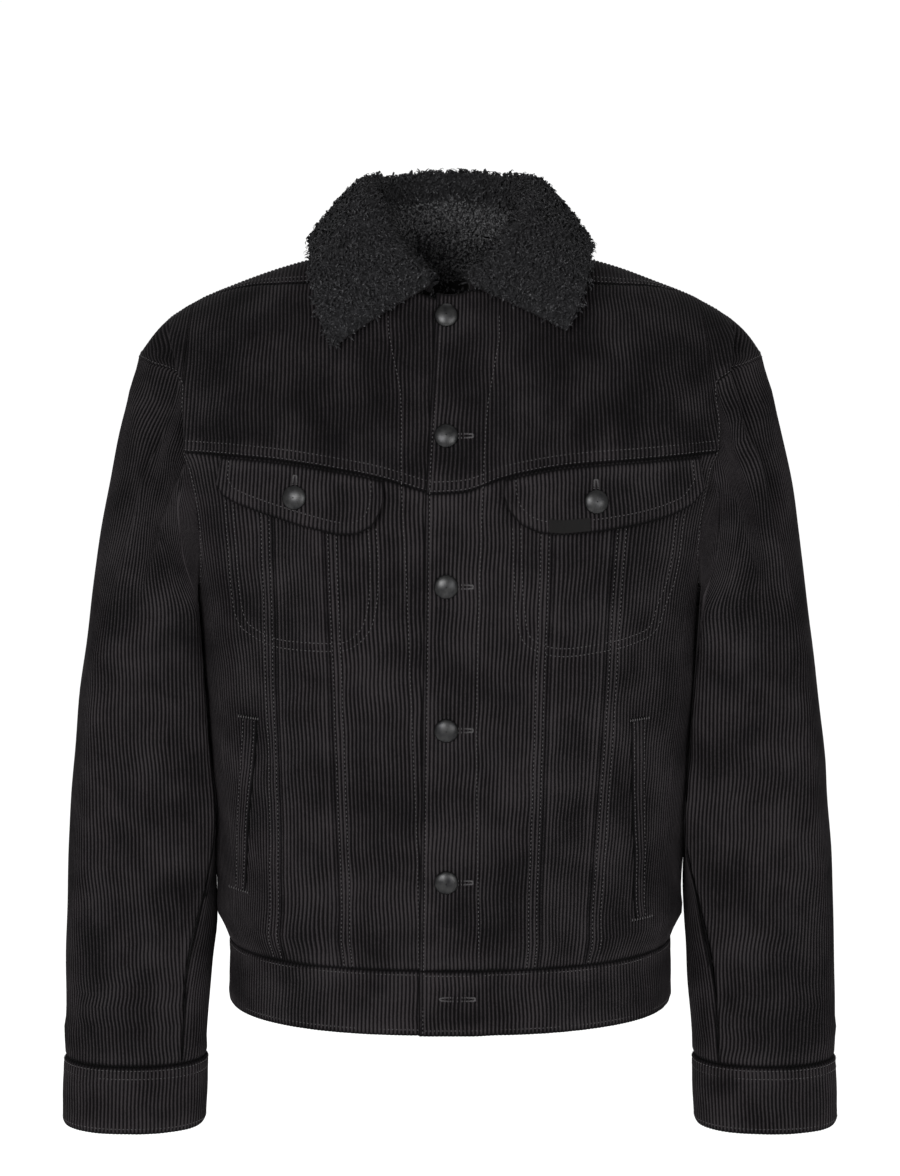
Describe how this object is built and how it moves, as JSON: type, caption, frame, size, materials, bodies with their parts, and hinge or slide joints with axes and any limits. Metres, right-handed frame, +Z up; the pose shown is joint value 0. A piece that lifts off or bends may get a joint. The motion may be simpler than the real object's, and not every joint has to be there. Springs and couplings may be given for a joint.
{
  "type": "sherpa lined jacket",
  "caption": "Boxy corduroy jacket with a turned-down sherpa collar, buttoned front, chest flap pockets, side welt pockets, cuffs and a fitted waistband, filled out as if worn.",
  "frame": {"origin": "middle of the neck, level with the two high shoulder points, where the wearer's neck and shoulders hold the jacket", "axes": "+Z up, -Y out of the front, +X to the wearer's left"},
  "size_m": [0.652, 0.2747, 0.7911],
  "materials": {
    "corduroy": "wide-wale cotton corduroy, brushed pile",
    "sherpa_fleece": "curly polyester sherpa pile",
    "gunmetal_zinc": "gunmetal plated, worn bright on the high edges",
    "label_satin": "plain woven satin"
  },
  "bodies": {
    "root": {"front_yoke_left": "corduroy", "front_centre_left": "corduroy", "front_pocket_panel_left": "corduroy", "front_side_left": "corduroy", "pocket_flap_left": "corduroy", "side_welt_left": "corduroy", "top_sleeve_left": "corduroy", "under_sleeve_left": "corduroy", "cuff_left": "corduroy", "flap_button_left": "gunmetal_zinc", "front_yoke_right": "corduroy", "front_centre_right": "corduroy", "front_pocket_panel_right": "corduroy", "front_side_right": "corduroy", "pocket_flap_right": "corduroy", "side_welt_right": "corduroy", "top_sleeve_right": "corduroy", "under_sleeve_right": "corduroy", "cuff_right": "corduroy", "flap_button_right": "gunmetal_zinc", "back_panel": "corduroy", "back_yoke": "corduroy", "waistband": "corduroy", "collar_under": "corduroy", "collar_top": "sherpa_fleece", "neck_lining": "sherpa_fleece", "neck_label": "label_satin", "flap_label": "label_satin", "front_button_1": "gunmetal_zinc", "front_button_2": "gunmetal_zinc", "front_button_3": "gunmetal_zinc", "front_button_4": "gunmetal_zinc", "front_button_5": "gunmetal_zinc"}
  },
  "joints": []
}
